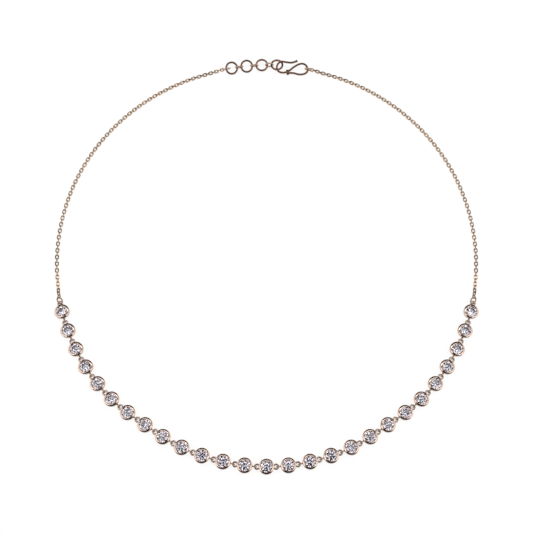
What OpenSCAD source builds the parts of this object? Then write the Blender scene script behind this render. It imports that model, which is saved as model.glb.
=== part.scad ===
// Riviere necklace: twenty-seven bezel-set brilliants on soldered loops, a fine cable chain on each
// side, and a fish hook that fastens in one of four extension rings. It lies closed on a flat surface.
// The loop's middle is the origin, the stones face +Z and the row's middle stone lies towards -Y.

/* [Loop] */
// Mean radius of the whole loop, an 18 inch necklace
loop_r = 72.7; // [72.5:0.1:73]
// Distance between two neighbouring stones
row_pitch = 7.0; // [6.98:0.01:7.1]

/* [Stone] */
// Diameter of each brilliant at its girdle
stone_d = 4.1; // [3.9:0.05:4.12]
// Table diameter as a share of the girdle's
table_share = 0.57; // [0.5:0.01:0.62]
// Crown height as a share of the girdle's diameter
crown_share = 0.15; // [0.12:0.01:0.16]
// Pavilion depth as a share of the girdle's diameter
pavilion_share = 0.43; // [0.4:0.01:0.44]
// Thickness of the girdle
girdle_t = 0.1; // [0.05:0.01:0.12]

/* [Setting] */
// Outer diameter of a bezel's upright wall
bezel_d = 4.95; // [4.93:0.01:5]
// Height of a bezel from its foot to the crest of its rim
bezel_h = 2.61; // [2.6:0.01:2.7]
// Diameter of the rim's crest, from which it slopes down to the wall
crest_d = 3.9; // [3.8:0.02:4]
// Outer diameter of the foot that a bezel rests on
foot_d = 3.5; // [3.2:0.1:3.8]
// Opening of the rim's lip over the stone
lip_d = 3.6; // [3.54:0.02:3.7]
// Bore under the stone
bezel_bore_d = 2.6; // [2.2:0.1:2.8]

/* [Loops on the settings] */
// Outer diameter of the flat loop on a bezel's outer side
flat_loop_d = 2.0; // [1.98:0.01:2.02]
// Wire of the flat loop
flat_wire = 0.5; // [0.46:0.01:0.51]
// Outer diameter of the upright loop on a bezel's inner side
upright_loop_d = 1.8; // [1.78:0.01:1.82]
// Wire of the upright loop
upright_wire = 0.4; // [0.36:0.01:0.41]
// Height of both loops' middle above the foot
loop_z = 1.45; // [1.4:0.01:1.5]

/* [Jump rings] */
// Outer diameter of the rings that join a chain to the row and to the hook
jump_d = 2.8; // [2.76:0.01:2.84]
// Wire of those rings
jump_wire = 0.42; // [0.38:0.01:0.43]

/* [Chain] */
// Width of a cable link, which is the chain's thickness all round
chain_d = 1.37; // [1.3:0.01:1.4]
// Wire of the soldered end link
link_wire = 0.3; // [0.28:0.01:0.31]

/* [Extension chain] */
// Outer diameter of each extension ring
ring_d = 4.83; // [4.8:0.01:4.86]
// Wire of an extension ring
ring_wire = 0.7; // [0.66:0.01:0.72]
// Outer diameter of the small rings between them
connector_d = 3.32; // [3.3:0.01:3.34]
// Wire of the small rings
connector_wire = 0.42; // [0.38:0.01:0.43]

/* [Hook] */
// Wire of the fish hook
hook_wire = 0.72; // [0.68:0.01:0.74]
// Ball at the hook's open tip
tip_d = 0.95; // [0.85:0.01:1]
// Height of the collar where the wire is wound round itself
collar_h = 1.3; // [1.2:0.05:1.4]
// Outer diameter of the collar
collar_d = 2.0; // [1.9:0.05:2.1]

/* [Hidden] */
SIDE_STONES = 13;
STONES = 2 * SIDE_STONES + 1;
function two_digits(n) = n < 10 ? str("0", n) : str(n);
function setting_name(n) = str("setting_", two_digits(n));
function stone_name(n) = str("stone_", two_digits(n));

ROSE = "#d9a489";
ROSE_DEEP = "#b98066";
ROSE_CHAIN = "#cfa27c";
STONE_COLOUR = "#dcdcf0";
$fn = 48;

// How the laid loop leaves its circle: angle from the front stone, width of the swell, size of it
LAY_ANGLE = 0;
LAY_WIDTH = 1;
LAY_SIZE = 2;
LAY = [
    [0, 16, 0.6],
    [33, 9, -0.82],
    [120, 22, 0.25],
    [180, 22, -0.5],
];
function lay_swell(a) =
    [for (row = LAY) row[LAY_SIZE] * exp(-pow((a - row[LAY_ANGLE]) / row[LAY_WIDTH], 2))];
function total(list, i = 0) = i == len(list) ? 0 : list[i] + total(list, i + 1);
function lay_r(a) = loop_r + total(lay_swell(abs(a)));

// Angles run from the front stone, up the left side as positive and up the right side as negative
function spot(a, z) = [-lay_r(a) * sin(a), -lay_r(a) * cos(a), z];
function degrees_for(length, a) = length / lay_r(a) * 180 / PI;
function setting_angle(k) = k == 0 ? 0
    : k < 0 ? -setting_angle(-k)
    : setting_angle(k - 1) + degrees_for(row_pitch, setting_angle(k - 1) + 2.5);

// The loop's own direction at an angle, away from the front stone
HEADING_SPAN = 1;
function heading(a) = a < 0 ? 180 - heading(-a)
    : let (d = spot(a + HEADING_SPAN, 0) - spot(a - HEADING_SPAN, 0)) atan2(d[1], d[0]);

// Places a piece on the loop, with its +X along the loop and away from the front stone
module on_loop(a, z) {
    translate(spot(a, z))
        rotate([0, 0, heading(a)])
            children();
}

// A round wire ring about +Z
module wire_ring(outer_d, wire) {
    rotate_extrude()
        translate([(outer_d - wire) / 2, 0])
            circle(d = wire);
}

// A ring in the plane of the loop's own direction, turned about that direction by roll
module ring_on_loop(a, z, roll, outer_d, wire) {
    on_loop(a, z)
        rotate([a < 0 ? -roll : roll, 0, 0])
            wire_ring(outer_d, wire);
}

// A tube swept along points, with a fixed upward hint for its cross-sections
function unit(v) = v / norm(v);
function path_heading(p, i) = unit(p[min(i + 1, len(p) - 1)] - p[max(i - 1, 0)]);
function sweep_ring(p, i, r, sides, up) =
    let (t = path_heading(p, i), s = unit(cross(up, t)), u = cross(t, s))
    [for (j = [0:sides - 1]) p[i] + r * (cos(360 * j / sides) * s + sin(360 * j / sides) * u)];
module swept_tube(p, r, sides, up) {
    rings = len(p);
    points = [for (i = [0:rings - 1]) each sweep_ring(p, i, r, sides, up)];
    walls = [
        for (i = [0:rings - 2]) for (j = [0:sides - 1])
            let (a = i * sides + j, b = i * sides + (j + 1) % sides)
            each [[a, a + sides, b + sides], [a, b + sides, b]]
    ];
    first_cap = [for (j = [0:sides - 1]) j];
    last_cap = [for (j = [sides - 1:-1:0]) (rings - 1) * sides + j];
    polyhedron(points, concat(walls, [first_cap, last_cap]), convexity = 10);
}

// Round brilliant: table, stars, kites, upper halves, girdle, lower halves and pavilion mains
FOLD = 8;
CULET_Z = 0.2;
LOWER_SHARE = 0.24;
STAR_SHARE = 0.5;
stone_r = stone_d / 2;
table_r = stone_r * table_share;
crown_h = stone_d * crown_share;
pavilion_h = stone_d * pavilion_share;
girdle_z = CULET_Z + pavilion_h + girdle_t;
star_r = table_r + (stone_r - table_r) * STAR_SHARE;
lower_r = stone_r * LOWER_SHARE;
half_step = 180 / FOLD;
function polar(r, a, z) = [r * cos(a), r * sin(a), z];
function crown_z(x) = girdle_z + crown_h * (stone_r - x) / (stone_r - table_r);
function pavilion_z(x) = CULET_Z + pavilion_h * x / stone_r;
function girdle_ring(z) = [for (i = [0:2 * FOLD - 1]) polar(stone_r, i * half_step, z)];
module brilliant() {
    table = [for (i = [0:FOLD - 1]) polar(table_r, 2 * i * half_step, girdle_z + crown_h)];
    star_z = crown_z(star_r * cos(half_step));
    stars = [for (i = [0:FOLD - 1]) polar(star_r, (2 * i + 1) * half_step, star_z)];
    lower_z = pavilion_z(lower_r * cos(half_step));
    lowers = [for (i = [0:FOLD - 1]) polar(lower_r, (2 * i + 1) * half_step, lower_z)];
    points = concat(table, stars, girdle_ring(girdle_z), girdle_ring(girdle_z - girdle_t), lowers,
        [[0, 0, CULET_Z]]);
    S = FOLD;
    G = 2 * FOLD;
    B = 4 * FOLD;
    L = 6 * FOLD;
    culet = 7 * FOLD;
    function next(i) = (i + 1) % FOLD;
    function rim(i) = i % (2 * FOLD);
    table_face = [for (i = [FOLD - 1:-1:0]) i];
    crown = [
        for (i = [0:FOLD - 1])
            let (last = (i + FOLD - 1) % FOLD)
            each [
                [i, next(i), S + i],
                [i, S + i, G + 2 * i],
                [i, G + 2 * i, S + last],
                [S + i, G + rim(2 * i + 1), G + 2 * i],
                [S + i, G + rim(2 * i + 2), G + rim(2 * i + 1)]
            ]
    ];
    girdle = [
        for (i = [0:2 * FOLD - 1])
            each [
                [G + i, G + rim(i + 1), B + rim(i + 1)],
                [G + i, B + rim(i + 1), B + i]
            ]
    ];
    pavilion = [
        for (i = [0:FOLD - 1])
            let (last = (i + FOLD - 1) % FOLD)
            each [
                [L + i, B + 2 * i, B + rim(2 * i + 1)],
                [L + i, B + rim(2 * i + 1), B + rim(2 * i + 2)],
                [culet, B + 2 * i, L + i],
                [culet, L + last, B + 2 * i]
            ]
    ];
    polyhedron(points, concat([table_face], crown, girdle, pavilion), convexity = 4);
}

// Bezel cup: tapered foot, upright wall, a rim that slopes up to its crest, a lip over the crown, a seat
WALL_FROM = 1.3;
WALL_TO = 2.2;
RIM_EDGE = 0.085;
RIM_EDGE_Z = 2.38;
CREST_FLAT = 0.07;
LIP_TOP = 2.52;
LIP_UNDER = 2.42;
LIP_ROOT = 2.27;
SEAT_GAP = 0.12;
SEAT_DROP = 0.86;
wall_r = bezel_d / 2;
crest_r = crest_d / 2;
seat_r = stone_r + SEAT_GAP;
seat_z = girdle_z - girdle_t - SEAT_GAP;
module bezel() {
    rotate_extrude()
        polygon([
            [bezel_bore_d / 2, 0],
            [foot_d / 2, 0],
            [wall_r, WALL_FROM],
            [wall_r, WALL_TO],
            [wall_r - RIM_EDGE, RIM_EDGE_Z],
            [crest_r, bezel_h],
            [crest_r - CREST_FLAT, bezel_h],
            [lip_d / 2, LIP_TOP],
            [lip_d / 2, LIP_UNDER],
            [seat_r, LIP_ROOT],
            [seat_r, seat_z],
            [bezel_bore_d / 2, seat_z - (seat_r - bezel_bore_d / 2) * SEAT_DROP]
        ]);
}

// Where the two loops sit from their own bezel's middle
FLAT_LOOP_OUT = 3.05;
LINK_GAP = 0.15;
flat_inner_edge = FLAT_LOOP_OUT + flat_loop_d / 2 - flat_wire;
upright_out = row_pitch - (flat_inner_edge - LINK_GAP - upright_wire) - upright_loop_d / 2;

module flat_loop() {
    translate([FLAT_LOOP_OUT, 0, loop_z])
        wire_ring(flat_loop_d, flat_wire);
}

module upright_loop() {
    translate([-upright_out, 0, loop_z])
        rotate([90, 0, 0])
            wire_ring(upright_loop_d, upright_wire);
}

function side_of(n) = SIDE_STONES + 1 - n;

// One setting, soldered in one piece with its two loops; the front one has a flat loop on each side
module setting(n) {
    k = side_of(n);
    color(ROSE)
        on_loop(setting_angle(k), 0) {
            bezel();
            flat_loop();
            if (k == 0)
                mirror([1, 0, 0])
                    flat_loop();
            else
                upright_loop();
        }
}

// Stones are turned a little differently in each setting
STONE_TURN = 17;
module stone(n) {
    color(STONE_COLOUR)
        on_loop(setting_angle(side_of(n)), 0)
            rotate([0, 0, STONE_TURN * n])
                brilliant();
}

// Row end: a jump ring through the last flat loop, and the chain's end link through the jump ring
JUMP_OUT = 4.2;
JUMP_Z = 1.36;
JUMP_ROLL = 60;
row_end = setting_angle(SIDE_STONES);
jump_angle = row_end + degrees_for(JUMP_OUT, row_end);
module row_jump_ring(side) {
    color(ROSE)
        ring_on_loop(side * jump_angle, JUMP_Z, JUMP_ROLL, jump_d, jump_wire);
}

// Angles at the back, from the front stone: the rings, the small rings between them, the hook's ring
BACK = 180;
RING_STEP = 4.5;
FIRST_RING = 10.4;
RINGS = 4;
RING_Z = [1.52, 1.6, 1.84, 2.1];
RING_ROLL = [29, 27, 12, -4];
CONNECTOR_ROLL = [118, 112, 112, 98];
FIRST_CONNECTOR_BACK = 1.6;
HOOK_RING_FROM_BACK = 12.45;
HOOK_RING_Z = 1.5;
HOOK_RING_ROLL = 105;
function ring_angle(i) = BACK - FIRST_RING + i * RING_STEP;
function connector_angle(i) = i == 0 ? ring_angle(0) - FIRST_CONNECTOR_BACK
    : ring_angle(i) - RING_STEP / 2;
function connector_z(i) = i == 0 ? RING_Z[0] : (RING_Z[i] + RING_Z[i - 1]) / 2;
module extension_chain() {
    for (i = [0:RINGS - 1]) {
        color(ROSE_DEEP)
            ring_on_loop(ring_angle(i), RING_Z[i], RING_ROLL[i], ring_d, ring_wire);
        color(ROSE_DEEP)
            ring_on_loop(connector_angle(i), connector_z(i), CONNECTOR_ROLL[i],
                connector_d, connector_wire);
    }
}

// Chain: a tube of the links' outer size, with a soldered end link at each end
CHAIN_SIDES = 8;
CHAIN_RINGS = 39;
CHAIN_REST = chain_d / 2;
CHAIN_RISE = 2.5;
END_LINK_IN = 0.06;
END_LINK_OUT = 0.47;
END_LINK_ROLL = 90;
chain_from = jump_angle + degrees_for((jump_d - jump_wire) / 2 + END_LINK_IN, jump_angle);
left_to = connector_angle(0) - degrees_for((connector_d - connector_wire) / 2 + END_LINK_IN, BACK);
right_to = BACK - HOOK_RING_FROM_BACK - degrees_for((jump_d - jump_wire) / 2 + END_LINK_IN, BACK);
tube_inset = degrees_for(END_LINK_OUT, BACK);
function rise(lift, away) = lift * exp(-pow(away / CHAIN_RISE, 2));
function chain_z(a, to, to_z) = CHAIN_REST
    + rise(JUMP_Z - CHAIN_REST, a - chain_from)
    + rise(to_z - CHAIN_REST, to - a);
module chain(side, to, to_z, to_roll) {
    first = chain_from + tube_inset;
    last = to - tube_inset;
    path = [
        for (i = [0:CHAIN_RINGS - 1])
            let (a = first + (last - first) * i / (CHAIN_RINGS - 1))
            spot(side * a, chain_z(a, to, to_z))
    ];
    color(ROSE_CHAIN)
        union() {
            swept_tube(path, chain_d / 2, CHAIN_SIDES, [0, 0, 1]);
            ring_on_loop(side * chain_from, JUMP_Z, JUMP_ROLL + END_LINK_ROLL, chain_d, link_wire);
            ring_on_loop(side * to, to_z, to_roll + END_LINK_ROLL, chain_d, link_wire);
        }
}

// The chain on the hook's side ends in a loose ring that goes through the hook's teardrop
module hook_jump_ring() {
    color(ROSE)
        ring_on_loop(HOOK_RING_FROM_BACK - BACK, HOOK_RING_Z, HOOK_RING_ROLL, jump_d, jump_wire);
}

module chain_to_rings() {
    chain(1, left_to, RING_Z[0], CONNECTOR_ROLL[0]);
}

module chain_to_hook() {
    chain(-1, right_to, HOOK_RING_Z, HOOK_RING_ROLL);
    hook_jump_ring();
}

// Hook: one wire from the open tip round the bend to the collar, then round the teardrop and back
HOOK_AT = [0, 71.0, 1.8];
HOOK_TILT = 28.8;
HOOK_SIDES = 10;
BEND_STEPS = 6;
OPEN_ARM = [
    [11.2, 2.43],
    [9.45, 1.92],
    [7.46, 2.07],
    [5.66, 2.3],
    [4.5, 1.7],
    [3.9, 0.5],
    [4.0, -0.55],
    [4.75, -1.38],
    [6.1, -1.72],
    [7.1, -1.56],
    [7.8, -1.6]
];
TEARDROP = [
    [8.2, -1.2],
    [8.8, -0.82],
    [9.98, 0.13],
    [11.59, 1.1],
    [12.9, 1.52],
    [14.0, 1.42],
    [14.95, 0.7],
    [15.4, -0.45],
    [15.2, -1.4],
    [14.31, -2.1],
    [12.93, -2.38],
    [11.61, -2.25],
    [10.2, -1.88],
    [8.9, -1.78],
    [8.2, -1.96]
];
COLLAR_AT = [7.95, -1.58, 0];
COLLAR_TURN = 2;
function point_at(p, i) = p[max(0, min(i, len(p) - 1))];
// A smooth curve through all the points of p, by Catmull and Rom's rule
function smooth_at(p, i, t) =
    let (a = point_at(p, i - 1), b = point_at(p, i), c = point_at(p, i + 1), d = point_at(p, i + 2))
    0.5 * (2 * b + (c - a) * t + (2 * a - 5 * b + 4 * c - d) * t * t
        + (3 * b - a - 3 * c + d) * t * t * t);
function smooth_path(p, steps) = concat(
    [for (i = [0:len(p) - 2]) for (s = [0:steps - 1]) smooth_at(p, i, s / steps)],
    [p[len(p) - 1]]
);
function raised(p) = [for (q = p) [q[0], q[1], 0]];
module hook_wire_along(p) {
    swept_tube(raised(smooth_path(p, BEND_STEPS)), hook_wire / 2, HOOK_SIDES, [0, 0, 1]);
}
module collar() {
    translate(COLLAR_AT)
        rotate([0, 90, COLLAR_TURN])
            cylinder(d = collar_d, h = collar_h, center = true);
}
module hook() {
    color(ROSE_DEEP)
        translate(HOOK_AT)
            rotate([HOOK_TILT, 0, 0])
                union() {
                    hook_wire_along(OPEN_ARM);
                    hook_wire_along(TEARDROP);
                    collar();
                    translate([OPEN_ARM[0][0], OPEN_ARM[0][1], 0])
                        sphere(d = tip_d);
                }
}

for (n = [1:STONES])
    setting(n);
for (n = [1:STONES])
    stone(n);
row_jump_ring(1);  // jump_ring_left
row_jump_ring(-1);  // jump_ring_right
chain_to_rings();  // chain_left
chain_to_hook();  // chain_right
extension_chain();
hook();
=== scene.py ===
"""Dresses the riviere necklace: bezels, wire loops, cable links, clasp rings and hook as finished
metal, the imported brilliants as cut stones, and a plain pale studio round them."""

import math

import bpy
import numpy as np
from mathutils import Euler, Matrix, Vector, noise


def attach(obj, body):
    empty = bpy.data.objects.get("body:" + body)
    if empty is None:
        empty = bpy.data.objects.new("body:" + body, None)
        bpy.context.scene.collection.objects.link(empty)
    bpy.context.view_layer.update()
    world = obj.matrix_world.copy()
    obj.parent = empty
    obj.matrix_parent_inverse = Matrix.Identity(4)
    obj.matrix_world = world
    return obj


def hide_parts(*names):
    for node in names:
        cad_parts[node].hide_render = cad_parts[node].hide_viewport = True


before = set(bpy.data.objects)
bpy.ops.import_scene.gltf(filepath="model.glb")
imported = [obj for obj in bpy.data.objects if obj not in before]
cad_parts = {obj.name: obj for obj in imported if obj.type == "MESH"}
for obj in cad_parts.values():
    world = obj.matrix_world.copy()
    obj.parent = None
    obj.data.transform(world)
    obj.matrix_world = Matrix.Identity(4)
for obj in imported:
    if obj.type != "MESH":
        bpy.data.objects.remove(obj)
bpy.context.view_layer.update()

MM = 0.001
UP = Vector((0, 0, 1))

# The loop as it lies, with the same sizes as in the part's source
LOOP_R = 72.7 * MM
LAY = [
    # angle from the front stone, width of the swell, size of the swell
    (0, 16, 0.6 * MM),
    (33, 9, -0.82 * MM),
    (120, 22, 0.25 * MM),
    (180, 22, -0.5 * MM),
]
BACK = 180
HEADING_SPAN = 1


def lay_r(angle):
    """Radius of the laid loop at an angle from the front stone, in degrees."""
    swells = (size * math.exp(-(((abs(angle) - at) / width) ** 2)) for at, width, size in LAY)
    return LOOP_R + sum(swells)


def spot(angle, z=0.0):
    """A point on the loop. Positive angles run up the left side, negative ones up the right."""
    r, a = lay_r(angle), math.radians(angle)
    return Vector((-r * math.sin(a), -r * math.cos(a), z))


def heading(angle):
    """The loop's direction away from the front stone, as an angle about +Z."""
    if angle < 0:
        return math.pi - heading(-angle)
    d = spot(angle + HEADING_SPAN) - spot(angle - HEADING_SPAN)
    return math.atan2(d.y, d.x)


def degrees_for(length, angle):
    """The angle that a length takes along the loop there."""
    return math.degrees(length / lay_r(angle))


def on_loop(angle, z, roll=0.0):
    """Places a piece on the loop: +X away from the front stone, turned about +X by roll."""
    turn = math.radians(-roll if angle < 0 else roll)
    place = Matrix.Translation(spot(angle, z))
    return place @ Matrix.Rotation(heading(angle), 4, "Z") @ Matrix.Rotation(turn, 4, "X")


# Mesh parts: each is a list of points and a list of faces


def moved(part, matrix):
    """A mesh part carried to another place."""
    points, faces = part
    m = np.array(matrix)
    return points @ m[:3, :3].T + m[:3, 3], faces


def joined(parts):
    """Several mesh parts as one."""
    points, faces, first = [], [], 0
    for p, f in parts:
        points.append(p)
        faces += [[i + first for i in face] for face in f]
        first += len(p)
    return np.vstack(points), faces


def grid_faces(rows, sides, closed):
    """Quads between rows of points, each row a ring of sides points."""
    faces = []
    for i in range(rows if closed else rows - 1):
        a, b = i * sides, (i + 1) % rows * sides
        faces += [[a + j, a + (j + 1) % sides, b + (j + 1) % sides, b + j] for j in range(sides)]
    return faces


def wire(path, radii, sides, closed=False):
    """A round wire along a path, with a radius at each point."""
    path = np.asarray(path, float)
    n = len(path)
    radii = np.broadcast_to(radii, n)
    if closed:
        along = np.roll(path, -1, 0) - np.roll(path, 1, 0)
    else:
        along = np.gradient(path, axis=0)
    along /= np.linalg.norm(along, axis=1)[:, None]
    hint = np.eye(3)[np.argmin(np.abs(along[0]))]
    across = np.cross(along[0], hint)
    across /= np.linalg.norm(across)
    angles = np.arange(sides) * 2 * math.pi / sides
    points = []
    for p, t, r in zip(path, along, radii):
        across = across - t * (across @ t)
        across /= np.linalg.norm(across)
        other = np.cross(t, across)
        points.append(p + r * (np.outer(np.cos(angles), across) + np.outer(np.sin(angles), other)))
    faces = grid_faces(n, sides, closed)
    if not closed:
        faces.append(list(range(sides))[::-1])
        faces.append([(n - 1) * sides + j for j in range(sides)])
    return np.vstack(points), faces


def lathe(profile, steps, wobble=None):
    """A closed outline of (radius, height) points turned about +Z."""
    rows = []
    for i in range(steps):
        a = 2 * math.pi * i / steps
        for r, z in profile:
            dr, dz = wobble(a, r, z) if wobble else (0, 0)
            rows.append(((r + dr) * math.cos(a), (r + dr) * math.sin(a), z + dz))
    return np.array(rows), grid_faces(steps, len(profile), True)


def oval(length, width, steps, start=0.0, end=2 * math.pi, closed=True):
    """Points on an oval in the XY plane: two half circles and the straight sides between them."""
    angles = np.linspace(start, end, steps, endpoint=not closed)
    along = width / 2 * np.cos(angles) + (length - width) / 2 * np.sign(np.cos(angles))
    return np.stack([along, width / 2 * np.sin(angles), 0 * angles], 1)


SEAM_RISE = 0.05
SEAM_WIDTH = 0.09


def wire_ring(outer_length, outer_width, thickness, steps, sides, seam=math.pi / 2):
    """A closed wire ring in the XY plane, a little thicker where its ends are soldered."""
    path = oval(outer_length - thickness, outer_width - thickness, steps)
    angles = np.linspace(0, 2 * math.pi, steps, endpoint=False)
    swell = SEAM_RISE * np.exp(-(((angles - seam) / SEAM_WIDTH) ** 2))
    return wire(path, thickness / 2 * (1 + swell), sides, closed=True)


SMOOTH_UNDER = math.radians(40)


def add_piece(name, part, material, nodes, patina_shade_values=None):
    """Makes a mesh object that stands for CAD nodes and takes its finish from a slot."""
    points, faces = part
    mesh = bpy.data.meshes.new(name)
    mesh.from_pydata(points.tolist(), [], faces)
    mesh.polygons.foreach_set("use_smooth", [True] * len(mesh.polygons))
    mesh.set_sharp_from_angle(angle=SMOOTH_UNDER)
    # A mask of the dark colour: patina at solder joints, painted shade everywhere else it is set
    patina_shade_layer = mesh.attributes.new("patina_shade", "FLOAT", "POINT")
    patina_shade_layer.data.foreach_set("value", np.zeros(len(points)) if patina_shade_values is None else patina_shade_values)
    mesh.materials.append(material)
    piece = bpy.data.objects.new(name, mesh)
    bpy.context.scene.collection.objects.link(piece)
    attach(piece, "root")
    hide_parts(*nodes)
    return piece


# Materials


def shader(name):
    """A new material: its tree's nodes, links and Principled node."""
    material = bpy.data.materials.new(name)
    material.use_nodes = True
    tree = material.node_tree
    return material, tree, tree.nodes["Principled BSDF"]


def add_node(tree, kind, inputs=(), **settings):
    """A new node, with each input linked to a socket or set to a value."""
    node = tree.nodes.new(kind)
    for key, value in settings.items():
        setattr(node, key, value)
    for key, value in dict(inputs).items():
        if isinstance(value, bpy.types.NodeSocket):
            tree.links.new(value, node.inputs[key])
        else:
            node.inputs[key].default_value = value
    return node


def ramp(tree, value, stops):
    """A colour ramp of (place, colour) stops."""
    node = add_node(tree, "ShaderNodeValToRGB", {"Fac": value})
    elements = node.color_ramp.elements
    while len(elements) < len(stops):
        elements.new(0.5)
    for element, (place, colour) in zip(elements, stops):
        element.position = place
        element.color = (*colour, 1)
    return node.outputs["Color"]


def grain(tree, coords, scale, detail):
    """A noise from 0 to 1."""
    inputs = {"Vector": coords, "Scale": scale, "Detail": detail}
    return add_node(tree, "ShaderNodeTexNoise", inputs).outputs["Fac"]


def ranged(tree, value, low, high):
    """A value from 0 to 1 spread between two others."""
    inputs = {"Value": value, "To Min": low, "To Max": high}
    return add_node(tree, "ShaderNodeMapRange", inputs).outputs[0]


# Noises of the materials: scale and detail
METAL_CLOUDS = (420, 4)
METAL_GRAIN = (2600, 5)
HAIRLINE_DETAIL = 3
HAIRLINE_STRETCH = 14
HAIRLINE_LEAN = 0.7
HAIRLINES = [
    # turn in radians, scale
    (0.6, 5200),
    (2.1, 4300),
]
STONE_CLOUDS = (300, 2)
STONE_POLISH = (3000, 3)
# Where in the clouds a metal has its deep and its light colour
DEEP_BELOW = 0.3
LIGHT_ABOVE = 0.7
# Extra roughness where the mask of patina and painted shade lies
PATINA_SHADE_ROUGHNESS = 0.08
BUMP_STRENGTH = 0.12
BUMP_DEPTH = 0.02 * MM
# The colour sockets of a Mix node, whose names its number sockets have too
MIX_A = 6
MIX_B = 7
MIX_RESULT = 2


def scratches(tree, coords, angle, scale):
    """Hairline marks, as stretched noise turned by an angle."""
    turn = (angle, angle * HAIRLINE_LEAN, angle)
    stretch = (1, HAIRLINE_STRETCH, HAIRLINE_STRETCH)
    mapping = {"Vector": coords, "Rotation": turn, "Scale": stretch}
    turned = add_node(tree, "ShaderNodeMapping", mapping).outputs[0]
    return grain(tree, turned, scale, HAIRLINE_DETAIL)


def metal(name, light, deep, patina_and_shade, rough_low, rough_high):
    """Polished gold alloy: cloudy tint, a dark colour mixed in by a mask that is patina at solder
    joints and painted shade elsewhere, hairlines and a faint filed ripple.
    """
    material, tree, bsdf = shader(name)
    coords = add_node(tree, "ShaderNodeTexCoord").outputs["Object"]
    clouds = grain(tree, coords, *METAL_CLOUDS)
    tint = ramp(tree, clouds, [(DEEP_BELOW, deep), (LIGHT_ABOVE, light)])
    # The mask that mixes in the dark colour: patina at solder joints, painted shade elsewhere
    patina_shade = add_node(tree, "ShaderNodeAttribute", attribute_name="patina_shade").outputs["Fac"]
    colour = add_node(
        tree,
        "ShaderNodeMix",
        {"Factor": patina_shade, MIX_A: tint, MIX_B: (*patina_and_shade, 1)},
        data_type="RGBA",
    )
    tree.links.new(colour.outputs[MIX_RESULT], bsdf.inputs["Base Color"])
    rough = ranged(tree, grain(tree, coords, *METAL_GRAIN), rough_low, rough_high)
    rougher = add_node(
        tree,
        "ShaderNodeMath",
        {0: patina_shade, 1: PATINA_SHADE_ROUGHNESS, 2: rough},
        operation="MULTIPLY_ADD",
    )
    tree.links.new(rougher.outputs[0], bsdf.inputs["Roughness"])
    first, second = [scratches(tree, coords, angle, scale) for angle, scale in HAIRLINES]
    marks = add_node(tree, "ShaderNodeMath", {0: first, 1: second}, operation="MAXIMUM")
    height = add_node(tree, "ShaderNodeMath", {0: marks.outputs[0], 1: clouds}, operation="ADD")
    bump = add_node(
        tree,
        "ShaderNodeBump",
        {"Height": height.outputs[0], "Strength": BUMP_STRENGTH, "Distance": BUMP_DEPTH},
    )
    tree.links.new(bump.outputs[0], bsdf.inputs["Normal"])
    bsdf.inputs["Metallic"].default_value = 1
    return material


STONE_TINT = [
    # place in the clouds, colour
    (0.35, (0.91, 0.86, 1.0)),
    (0.65, (0.98, 0.93, 1.0)),
]
STONE_ROUGHNESS = 0.012
DIAMOND_IOR = 2.42


def cut_stone(name):
    """A clear brilliant with a trace of lavender, and facets a hair short of perfectly polished."""
    material, tree, bsdf = shader(name)
    coords = add_node(tree, "ShaderNodeTexCoord").outputs["Object"]
    tint = ramp(tree, grain(tree, coords, *STONE_CLOUDS), STONE_TINT)
    tree.links.new(tint, bsdf.inputs["Base Color"])
    rough = ranged(tree, grain(tree, coords, *STONE_POLISH), 0.0, STONE_ROUGHNESS)
    tree.links.new(rough, bsdf.inputs["Roughness"])
    bsdf.inputs["Transmission Weight"].default_value = 1
    bsdf.inputs["IOR"].default_value = DIAMOND_IOR
    return material


# The last colour of each alloy is its dark one: patina at solder joints, and painted shade inside
# the cups and over loops, rings and the hook
ROSE = metal(
    "rose_gold",
    light=(0.80, 0.62, 0.52),
    deep=(0.67, 0.48, 0.38),
    patina_and_shade=(0.24, 0.17, 0.135),
    rough_low=0.03,
    rough_high=0.10,
)
WARM = metal(
    "chain_gold",
    light=(0.69, 0.48, 0.31),
    deep=(0.54, 0.36, 0.22),
    patina_and_shade=(0.19, 0.125, 0.075),
    rough_low=0.06,
    rough_high=0.16,
)
DEEP = metal(
    "clasp_gold",
    light=(0.84, 0.62, 0.50),
    deep=(0.70, 0.49, 0.38),
    patina_and_shade=(0.19, 0.085, 0.04),
    rough_low=0.04,
    rough_high=0.12,
)
STONE = cut_stone("brilliant")

# Settings: a lathed cup whose rim slopes up to a lip over the stone, and two soldered wire loops
SIDE_STONES = 13
STONES = 2 * SIDE_STONES + 1
ROW_PITCH = 7.0 * MM
STEP_SAMPLE = 2.5
BEZEL_STEPS = 96
LOOP_Z = 1.45 * MM
# Loops: how far out the middle is, outer diameter, wire, and the wire's reach each way in degrees
FLAT_LOOP = {"out": 3.05 * MM, "outer": 2.0 * MM, "wire": 0.56 * MM, "reach": 148}
UPRIGHT_LOOP = {"out": 3.14 * MM, "outer": 1.8 * MM, "wire": 0.42 * MM, "reach": 162}
SOLDER_FLARE = 0.55
SOLDER_WIDTH = 11
LOOP_STEPS = 48
LOOP_SIDES = 14
CUP = [
    # radius and height in mm: out from the bore, up the outside, over the rim, down the inside
    (1.34, 0.0),
    (1.70, 0.0),
    (1.75, 0.04),
    (1.96, 0.36),
    (2.20, 0.80),
    (2.38, 1.14),
    (2.44, 1.26),
    (2.468, 1.40),
    (2.47, 2.18),
    (2.46, 2.26),
    (2.43, 2.335),
    (2.37, 2.40),
    (2.28, 2.455),
    (2.19, 2.50),
    (2.10, 2.54),
    (2.01, 2.575),
    (1.94, 2.595),
    (1.88, 2.60),
    (1.83, 2.58),
    (1.79, 2.53),
    (1.76, 2.45),
    (1.745, 2.36),
    (1.74, 2.295),
    (1.76, 2.272),
    (1.85, 2.206),
    (1.90, 2.17),
    (2.06, 2.07),
    (2.08, 1.95),
    (2.03, 1.84),
    (1.30, 1.22),
    (1.30, 0.04),
]
INSIDE_POINTS = 7
RIM_FROM = 2.2
RIM_REACH = 0.3
RIM_WOBBLE = 0.012 * MM
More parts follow.
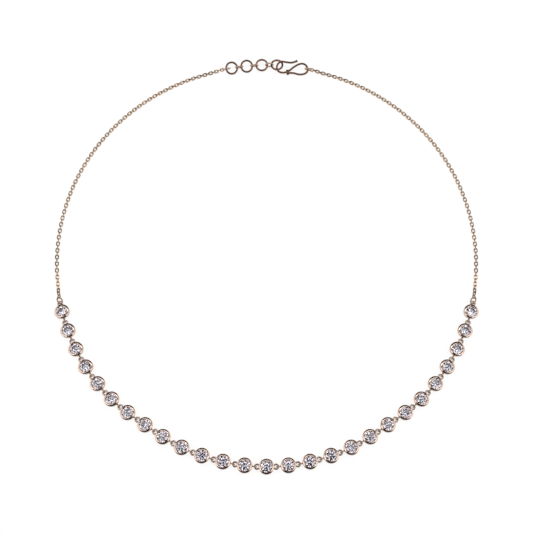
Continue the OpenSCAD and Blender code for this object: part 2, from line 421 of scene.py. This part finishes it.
WOBBLE_WAVES = 1.6
WOBBLE_STEP = 7.3
# How far the dark colour covers each piece: painted shade inside and under the cups and over the
# loop wires
CUP_PAINTED_SHADE = 0.7
LOOP_PAINTED_SHADE = 0.45


def setting_angle(k):
    """Angle of the k-th setting from the front stone, positive up the left side."""
    if k < 0:
        return -setting_angle(-k)
    angle = 0.0
    for _ in range(k):
        angle += degrees_for(ROW_PITCH, angle + STEP_SAMPLE)
    return angle


def cup(seed):
    """One bezel cup, with a rim that was pushed over by hand."""

    def wobble(a, r, z):
        rim = max(0.0, min(1.0, (z / MM - RIM_FROM) / RIM_REACH))
        round_rim = (WOBBLE_WAVES * math.cos(a), WOBBLE_WAVES * math.sin(a))
        p = Vector((*round_rim, WOBBLE_STEP * seed))
        return (
            -abs(noise.noise(p)) * RIM_WOBBLE * rim,
            -abs(noise.noise(p * 2)) * RIM_WOBBLE * rim,
        )

    return lathe([(r * MM, z * MM) for r, z in CUP], BEZEL_STEPS, wobble)


def cup_painted_shade():
    """How much painted shade each point of a cup gets: the seat under its lip, the bore and the
    foot's inner edge are darkened.
    """
    inside = np.zeros(len(CUP))
    inside[0] = CUP_PAINTED_SHADE
    inside[-INSIDE_POINTS:] = CUP_PAINTED_SHADE
    return np.tile(inside, BEZEL_STEPS)


def soldered_loop(loop):
    """An open wire loop in the XY plane round the origin. Its ends flare into solder towards -X."""
    reach = math.radians(loop["reach"])
    size = loop["outer"] - loop["wire"]
    path = oval(size, size, LOOP_STEPS, -reach, reach, closed=False)
    away = loop["reach"] - np.abs(np.linspace(-loop["reach"], loop["reach"], LOOP_STEPS))
    radii = loop["wire"] / 2 * (1 + SOLDER_FLARE * np.exp(-((away / SOLDER_WIDTH) ** 2)))
    # Full dark colour at the solder joints as patina, and a set share over the rest of the wire as
    # painted shade
    patina_shade = LOOP_PAINTED_SHADE + (1 - LOOP_PAINTED_SHADE) * np.exp(-((away / SOLDER_WIDTH) ** 2))
    return wire(path, radii, LOOP_SIDES), np.repeat(patina_shade, LOOP_SIDES)


def setting(n):
    """The n-th setting from the left: its cup and its two loops."""
    k = SIDE_STONES + 1 - n
    flat, flat_patina_shade = soldered_loop(FLAT_LOOP)
    upright, upright_patina_shade = soldered_loop(UPRIGHT_LOOP)
    outwards = Matrix.Translation((FLAT_LOOP["out"], 0, LOOP_Z))
    parts, patina_shade = [cup(n), moved(flat, outwards)], [cup_painted_shade(), flat_patina_shade]
    if k == 0:
        parts.append(moved(flat, Matrix.Rotation(math.pi, 4, "Z") @ outwards))
        patina_shade.append(flat_patina_shade)
    else:
        stand = Matrix.Rotation(math.pi / 2, 4, "X")
        inwards = Matrix.Translation((UPRIGHT_LOOP["out"], 0, LOOP_Z)) @ stand
        parts.append(moved(upright, Matrix.Rotation(math.pi, 4, "Z") @ inwards))
        patina_shade.append(upright_patina_shade)
    part = moved(joined(parts), on_loop(setting_angle(k), 0))
    node = f"setting_{n:02d}"
    add_piece(f"{node}_bezel", part, ROSE, [node], np.concatenate(patina_shade))


for n in range(1, STONES + 1):
    setting(n)
    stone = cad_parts[f"stone_{n:02d}"]
    stone.data.materials.clear()
    stone.data.materials.append(STONE)

# Jump rings between the row and the chains
JUMP_OUT = 4.2 * MM
JUMP_Z = 1.36 * MM
JUMP_ROLL = 60
JUMP_D = 2.8 * MM
JUMP_WIRE = 0.5 * MM
ROW_END = setting_angle(SIDE_STONES)
JUMP_ANGLE = ROW_END + degrees_for(JUMP_OUT, ROW_END)
RING_STEPS = 72
RING_SIDES = 16


def jump_ring(angle, z, roll):
    """A jump ring at its place on the loop."""
    ring = wire_ring(JUMP_D, JUMP_D, JUMP_WIRE, RING_STEPS, RING_SIDES)
    return moved(ring, on_loop(angle, z, roll))


for side, word in ((1, "left"), (-1, "right")):
    ring = jump_ring(side * JUMP_ANGLE, JUMP_Z, JUMP_ROLL)
    # Painted shade over the whole jump ring
    patina_shade = np.full(len(ring[0]), LOOP_PAINTED_SHADE)
    add_piece(f"row_ring_{word}", ring, ROSE, [f"jump_ring_{word}"], patina_shade)

# Extension chain: four rings joined by four small ones
FIRST_RING = 10.4
RING_STEP = 4.5
RINGS = 4
RING_Z = [1.52 * MM, 1.6 * MM, 1.84 * MM, 2.1 * MM]
RING_ROLL = [29, 27, 12, -4]
CONNECTOR_ROLL = [118, 112, 112, 98]
FIRST_CONNECTOR_BACK = 1.6
# Painted shade: how far the dark colour covers the large rings and the hook, and the small rings
RING_PAINTED_SHADE = 0.88
CONNECTOR_PAINTED_SHADE = 0.25
RING_D = 4.83 * MM
RING_WIRE = 0.7 * MM
CONNECTOR_D = 3.3 * MM
CONNECTOR_WIRE = 0.5 * MM
CONNECTOR_SEAM = math.pi / 4
BIG_RING_STEPS = 96
BIG_RING_SIDES = 20
FIRST_SEAM = 0.35 * math.pi
SEAM_TURN = 0.4 * math.pi


def ring_angle(i):
    """Angle of large ring i."""
    return BACK - FIRST_RING + i * RING_STEP


def connector_place(i):
    """Angle and height of the small ring before ring i."""
    if i == 0:
        return ring_angle(0) - FIRST_CONNECTOR_BACK, RING_Z[0]
    return ring_angle(i) - RING_STEP / 2, (RING_Z[i] + RING_Z[i - 1]) / 2


def extension_chain():
    """The large rings, each with the small one before it, and their values of painted shade."""
    parts, patina_shade = [], []
    for i in range(RINGS):
        seam = FIRST_SEAM + SEAM_TURN * i
        ring = wire_ring(RING_D, RING_D, RING_WIRE, BIG_RING_STEPS, BIG_RING_SIDES, seam)
        parts.append(moved(ring, on_loop(ring_angle(i), RING_Z[i], RING_ROLL[i])))
        patina_shade.append(np.full(len(ring[0]), RING_PAINTED_SHADE))
        small = wire_ring(
            CONNECTOR_D, CONNECTOR_D, CONNECTOR_WIRE, RING_STEPS, RING_SIDES, CONNECTOR_SEAM
        )
        parts.append(moved(small, on_loop(*connector_place(i), CONNECTOR_ROLL[i])))
        patina_shade.append(np.full(len(small[0]), CONNECTOR_PAINTED_SHADE))
    return joined(parts), np.concatenate(patina_shade)


rings, ring_painted_shade = extension_chain()
add_piece("extension_rings", rings, DEEP, ["extension_chain"], ring_painted_shade)

# Cable chain: oval links, each a quarter turn from the last, with a finer soldered link at each end
LINK_LENGTH = 2.0 * MM
LINK_WIDTH = 1.37 * MM
LINK_WIRE = 0.38 * MM
END_WIRE = 0.3 * MM
END_LENGTH = 1.7 * MM
END_SHIFT = (END_LENGTH - LINK_WIDTH) / 2
LINK_STEPS = 28
LINK_SIDES = 8
SIDE_PITCH = 1.22 * MM
BACK_PITCH = 1.12 * MM
END_STEP = 1.3 * MM
END_LINK_IN = 0.06 * MM
QUARTER_TURN = 90
HALF_TURN = 180
END_LINK_ROLL = QUARTER_TURN
CHAIN_REST = LINK_WIDTH / 2 + SEAM_RISE * LINK_WIRE / 2
CHAIN_RISE = 2.5
LINK_LEAN = 18
LEAN_REACH = 12 * MM
HOOK_RING_FROM_BACK = 12.45
HOOK_RING_Z = 1.5 * MM
HOOK_RING_ROLL = 105
PATH_STEPS = 1200
TO_CONNECTOR = (CONNECTOR_D - CONNECTOR_WIRE) / 2 + END_LINK_IN
TO_JUMP_RING = (JUMP_D - JUMP_WIRE) / 2 + END_LINK_IN
CHAIN_FROM = JUMP_ANGLE + degrees_for(TO_JUMP_RING, JUMP_ANGLE)
LEFT_TO = connector_place(0)[0] - degrees_for(TO_CONNECTOR, BACK)
RIGHT_TO = BACK - HOOK_RING_FROM_BACK - degrees_for(TO_JUMP_RING, BACK)


def rise(lift, away):
    """What is left of the lift at a ring, some degrees away from it."""
    return lift * math.exp(-((away / CHAIN_RISE) ** 2))


def chain_path(side, to, to_z):
    """Points along the chain's middle, and how far along the chain each one is."""
    points = []
    for a in np.linspace(CHAIN_FROM, to, PATH_STEPS):
        at_row = rise(JUMP_Z - CHAIN_REST, a - CHAIN_FROM)
        at_back = rise(to_z - CHAIN_REST, to - a)
        points.append(spot(side * a, CHAIN_REST + at_row + at_back))
    points = np.array(points)
    steps = np.linalg.norm(np.diff(points, axis=0), axis=1)
    return points, np.concatenate([[0], np.cumsum(steps)])


def link_places(length):
    """Distances of all the links along a chain. Their spacing closes up towards the back."""
    between = length - 2 * END_STEP
    gaps = 2 * round(between / (SIDE_PITCH + BACK_PITCH))
    pitch = np.linspace(SIDE_PITCH, BACK_PITCH, gaps)
    pitch *= between / pitch.sum()
    inner = END_STEP + np.concatenate([[0], np.cumsum(pitch)])
    return np.concatenate([[END_SHIFT], inner, [length - END_SHIFT]])


def eased(x):
    """A step from 0 to 1 that starts and ends gently."""
    x = min(1.0, max(0.0, x))
    return x * x * (3 - 2 * x)


def lean_at(s, length, first, last):
    """Roll of the flat-lying links: it eases from the end ring's to the chain's own and back."""
    from_first = (LINK_LEAN - first) * eased(s / LEAN_REACH)
    to_last = (last - LINK_LEAN) * eased(1 - (length - s) / LEAN_REACH)
    return first + from_first + to_last


def chain(side, to, to_z, to_roll):
    """The links of one chain, from the row's jump ring to an angle, height and roll at the back."""
    path, run = chain_path(side, to, to_z)
    length = run[-1]
    first = JUMP_ROLL + END_LINK_ROLL - HALF_TURN
    last = to_roll + END_LINK_ROLL - HALF_TURN
    places = link_places(length)
    middle_link = wire_ring(LINK_LENGTH, LINK_WIDTH, LINK_WIRE, LINK_STEPS, LINK_SIDES)
    end_link = wire_ring(END_LENGTH, LINK_WIDTH, END_WIRE, LINK_STEPS, LINK_SIDES)

    def point(s):
        return Vector([np.interp(s, run, path[:, axis]) for axis in range(3)])

    parts = []
    for i, s in enumerate(places):
        along = (point(s + LINK_WIRE) - point(s - LINK_WIRE)).normalized()
        across = UP.cross(along).normalized()
        turn = Matrix((along, across, along.cross(across))).transposed().to_4x4()
        roll = lean_at(s, length, first, last) + QUARTER_TURN * (i % 2)
        spin = Matrix.Rotation(math.radians(side * roll), 4, "X")
        link = end_link if i in (0, len(places) - 1) else middle_link
        parts.append(moved(link, Matrix.Translation(point(s)) @ turn @ spin))
    return parts


left_links = chain(1, LEFT_TO, RING_Z[0], CONNECTOR_ROLL[0])
right_links = chain(-1, RIGHT_TO, HOOK_RING_Z, HOOK_RING_ROLL)
hook_ring = jump_ring(HOOK_RING_FROM_BACK - BACK, HOOK_RING_Z, HOOK_RING_ROLL)
add_piece("chain_left_links", joined(left_links), WARM, ["chain_left"])
right_part = joined([*right_links, hook_ring])
add_piece("chain_right_links", right_part, WARM, ["chain_right"])

# Hook: one wire from its ball tip round the bend, through the wound collar and round the teardrop
HOOK_AT = Vector((0, 71.0 * MM, 1.8 * MM))
HOOK_TILT = 28.8
HOOK_WIRE = 0.72 * MM
HOOK_SIDES = 20
TIP_D = 0.946 * MM
BEND_STEPS = 8
OPEN_ARM = [
    # x and y in mm, from the hook's open tip round the bend to the collar
    (11.2, 2.43),
    (9.45, 1.92),
    (7.46, 2.07),
    (5.66, 2.3),
    (4.5, 1.7),
    (3.9, 0.5),
    (4.0, -0.55),
    (4.75, -1.38),
    (6.1, -1.72),
    (7.1, -1.56),
    (7.8, -1.42),
]
TEARDROP = [
    # x and y in mm, from the collar round the teardrop and back
    (8.2, -1.2),
    (8.8, -0.82),
    (9.98, 0.13),
    (11.59, 1.1),
    (12.9, 1.52),
    (14.0, 1.42),
    (14.95, 0.7),
    (15.4, -0.45),
    (15.2, -1.4),
    (14.31, -2.1),
    (12.93, -2.38),
    (11.61, -2.25),
    (10.2, -1.88),
    (8.9, -1.82),
    (7.5, -1.96),
]
COLLAR_AT = Vector((7.95 * MM, -1.58 * MM, 0))
COLLAR_H = 1.3 * MM
COLLAR_D = 2.0 * MM
COLLAR_TURN = 2
COIL_TURNS = 4
COIL_STEPS = 28
COIL_SIDES = 12
COIL_FLAT = 0.86
PLUG_SIDES = 24
TIP_ROWS = 15
TIP_SIDES = 28


def smooth_path(points, steps):
    """A smooth curve through all the points, by Catmull and Rom's rule."""
    p = np.array([(x * MM, y * MM, 0) for x, y in points])
    ends = np.vstack([p[0], p, p[-1]])
    out = []
    for a, b, c, d in zip(ends[:-3], ends[1:-2], ends[2:-1], ends[3:]):
        for t in np.arange(steps) / steps:
            cubic = (3 * b - a - 3 * c + d) * t**3
            out.append(0.5 * (2 * b + (c - a) * t + (2 * a - 5 * b + 4 * c - d) * t**2 + cubic))
    return np.array([*out, p[-1]])


def ball(diameter, rows, sides):
    """A round ball, as a lathe about its own axis."""
    r = diameter / 2
    angles = np.linspace(-math.pi / 2, math.pi / 2, rows)
    return lathe([(r * math.cos(t), r * math.sin(t)) for t in angles], sides)


def collar():
    """Fine wire wound round the two strands, over a plug of solder."""
    coil_wire = COLLAR_H / COIL_TURNS
    reach = (COLLAR_D - coil_wire) / 2
    steps = (COIL_TURNS - 1) * COIL_STEPS + 1
    angles = np.linspace(0, 2 * math.pi * (COIL_TURNS - 1), steps)
    along = np.linspace(-1, 1, steps) * (COLLAR_H - coil_wire) / 2
    path = np.stack([along, reach * np.cos(angles), COIL_FLAT * reach * np.sin(angles)], 1)
    coil = wire(path, coil_wire / 2, COIL_SIDES)
    plug_half = (COLLAR_H - coil_wire) / 2
    plug = wire([(x * plug_half, 0, 0) for x in (-1, 0, 1)], reach * COIL_FLAT, PLUG_SIDES)
    turn = Matrix.Rotation(math.radians(COLLAR_TURN), 4, "Z")
    return moved(joined([coil, plug]), Matrix.Translation(COLLAR_AT) @ turn)


def hook():
    """The bent wire with its ball tip and its collar, tilted as it lies."""
    path = smooth_path(OPEN_ARM + TEARDROP, BEND_STEPS)
    strand = wire(path, HOOK_WIRE / 2, HOOK_SIDES)
    tip = moved(ball(TIP_D, TIP_ROWS, TIP_SIDES), Matrix.Translation(path[0]))
    tilt = Matrix.Rotation(math.radians(HOOK_TILT), 4, "X")
    return moved(joined([strand, tip, collar()]), Matrix.Translation(HOOK_AT) @ tilt)


hook_part = hook()
# Painted shade over the whole hook, as over the large rings
hook_painted_shade = np.full(len(hook_part[0]), RING_PAINTED_SHADE)
add_piece("fish_hook", hook_part, DEEP, ["hook"], hook_painted_shade)

# Studio: a plain pale floor under a tent of soft panels, open round the camera
FLOOR_SIZE = 4.0
# Scale and detail of the floor's noise
FLOOR_GRAIN = (60, 3)
FLOOR_TONE = [
    # place in the grain, colour
    (0.3, (0.20, 0.20, 0.20)),
    (0.7, (0.22, 0.22, 0.22)),
]
FLOOR_ROUGHNESS = 0.9
# The floor's own light, as the camera sees it and as everything else does
FLOOR_GLOW = 0.88
FLOOR_BOUNCE = 0.62
BACKDROP = 0.95
TOP = 0.32
SIDE = 0.42
PANELS = [
    # name, corner, opposite corner in metres, radiance
    ("overhead", (0.06, -0.18, TOP), (0.18, -0.06, TOP), 1.25),
    ("overhead_dim", (0.06, -0.06, TOP), (0.18, 0.06, TOP), 0.55),
    ("ceiling_back", (-0.18, 0.06, TOP), (0.18, 0.18, TOP), 2.8),
    ("ceiling_wing", (0.18, -0.30, TOP), (0.30, -0.06, TOP), 1.7),
    ("shoulder", (0.30, -0.30, TOP), (SIDE, 0.18, TOP), 1.3),
    ("upper_side", (SIDE, -0.30, 0.21), (SIDE, 0.18, 0.31), 1.3),
    ("side", (SIDE, -0.42, 0.0), (SIDE, 0.42, 0.20), 1.15),
    ("front", (-SIDE, -SIDE, 0.10), (SIDE, -SIDE, 0.31), 0.22),
]


def floor():
    """A wide floor that takes soft shadows. Its own glow keeps it as pale as paper."""
    mesh = bpy.data.meshes.new("floor")
    half = FLOOR_SIZE / 2
    corners = [(-half, -half, 0), (half, -half, 0), (half, half, 0), (-half, half, 0)]
    mesh.from_pydata(corners, [], [[0, 1, 2, 3]])
    material, tree, bsdf = shader("pale_floor")
    coords = add_node(tree, "ShaderNodeTexCoord").outputs["Object"]
    tone = ramp(tree, grain(tree, coords, *FLOOR_GRAIN), FLOOR_TONE)
    tree.links.new(tone, bsdf.inputs["Base Color"])
    bsdf.inputs["Roughness"].default_value = FLOOR_ROUGHNESS
    bsdf.inputs["Specular IOR Level"].default_value = 0
    seen = add_node(tree, "ShaderNodeLightPath").outputs["Is Camera Ray"]
    glow = add_node(
        tree,
        "ShaderNodeMath",
        {0: seen, 1: FLOOR_GLOW - FLOOR_BOUNCE, 2: FLOOR_BOUNCE},
        operation="MULTIPLY_ADD",
    )
    bsdf.inputs["Emission Color"].default_value = (1, 1, 1, 1)
    tree.links.new(glow.outputs[0], bsdf.inputs["Emission Strength"])
    mesh.materials.append(material)
    piece = bpy.data.objects.new("floor", mesh)
    bpy.context.scene.collection.objects.link(piece)


def panel(name, low, high, radiance):
    """A soft light that fills the flat box between two corners and shines down or inwards."""
    low, high = Vector(low), Vector(high)
    middle, span = (low + high) / 2, high - low
    flat = min(range(3), key=lambda axis: abs(span[axis]))
    light = bpy.data.lights.new(name, "AREA")
    light.shape = "RECTANGLE"
    light.size = abs(span.z if flat == 0 else span.x)
    light.size_y = abs(span.z if flat == 1 else span.y)
    light.energy = radiance * math.pi * light.size * light.size_y
    holder = bpy.data.objects.new(name, light)
    holder.location = middle
    quarter = math.copysign(math.pi / 2, middle[flat])
    holder.rotation_euler = [(0, quarter, 0), (-quarter, 0, 0), (0, 0, 0)][flat]
    holder.visible_camera = False
    bpy.context.scene.collection.objects.link(holder)


def tent():
    """The panels on the right and in the middle, and the same ones on the left."""
    for name, low, high, radiance in PANELS:
        panel(name, low, high, radiance)
        if low[0] > 0:
            left_low, left_high = (-high[0], *low[1:]), (-low[0], *high[1:])
            panel(f"{name}_left", left_low, left_high, radiance)


def room():
    """Pale where the camera looks past the floor, and no light from there for anything else."""
    world = bpy.data.worlds.new("room")
    world.use_nodes = True
    tree = world.node_tree
    tree.nodes.clear()
    seen = add_node(tree, "ShaderNodeLightPath").outputs["Is Camera Ray"]
    pale = add_node(tree, "ShaderNodeMath", {0: seen, 1: BACKDROP}, operation="MULTIPLY")
    backdrop = add_node(
        tree, "ShaderNodeBackground", {"Color": (1, 1, 1, 1), "Strength": pale.outputs[0]}
    )
    add_node(tree, "ShaderNodeOutputWorld", {"Surface": backdrop.outputs[0]})
    bpy.context.scene.world = world


floor()
tent()
room()

# Camera: a 50 mm lens above the front of the loop, looking down and a little towards the clasp
CAMERA_AT = Vector((0, -81.16 * MM, 245.36 * MM))
CAMERA_TILT = 16.93
LENS = 50
SENSOR = 36
NEAREST = 0.01
# The picture's width, and how far its middle lies above the lens's, in points of the photo
FRAME = 533
FRAME_RISE = 0.7
camera = bpy.data.objects.new("camera", bpy.data.cameras.new("camera"))
camera.data.lens = LENS
camera.data.sensor_width = SENSOR
camera.data.clip_start = NEAREST
camera.data.shift_y = FRAME_RISE / FRAME
camera.location = CAMERA_AT
camera.rotation_euler = Euler((math.radians(CAMERA_TILT), 0, 0))
bpy.context.scene.collection.objects.link(camera)
bpy.context.scene.camera = camera
bpy.context.scene.view_settings.view_transform = "Standard"
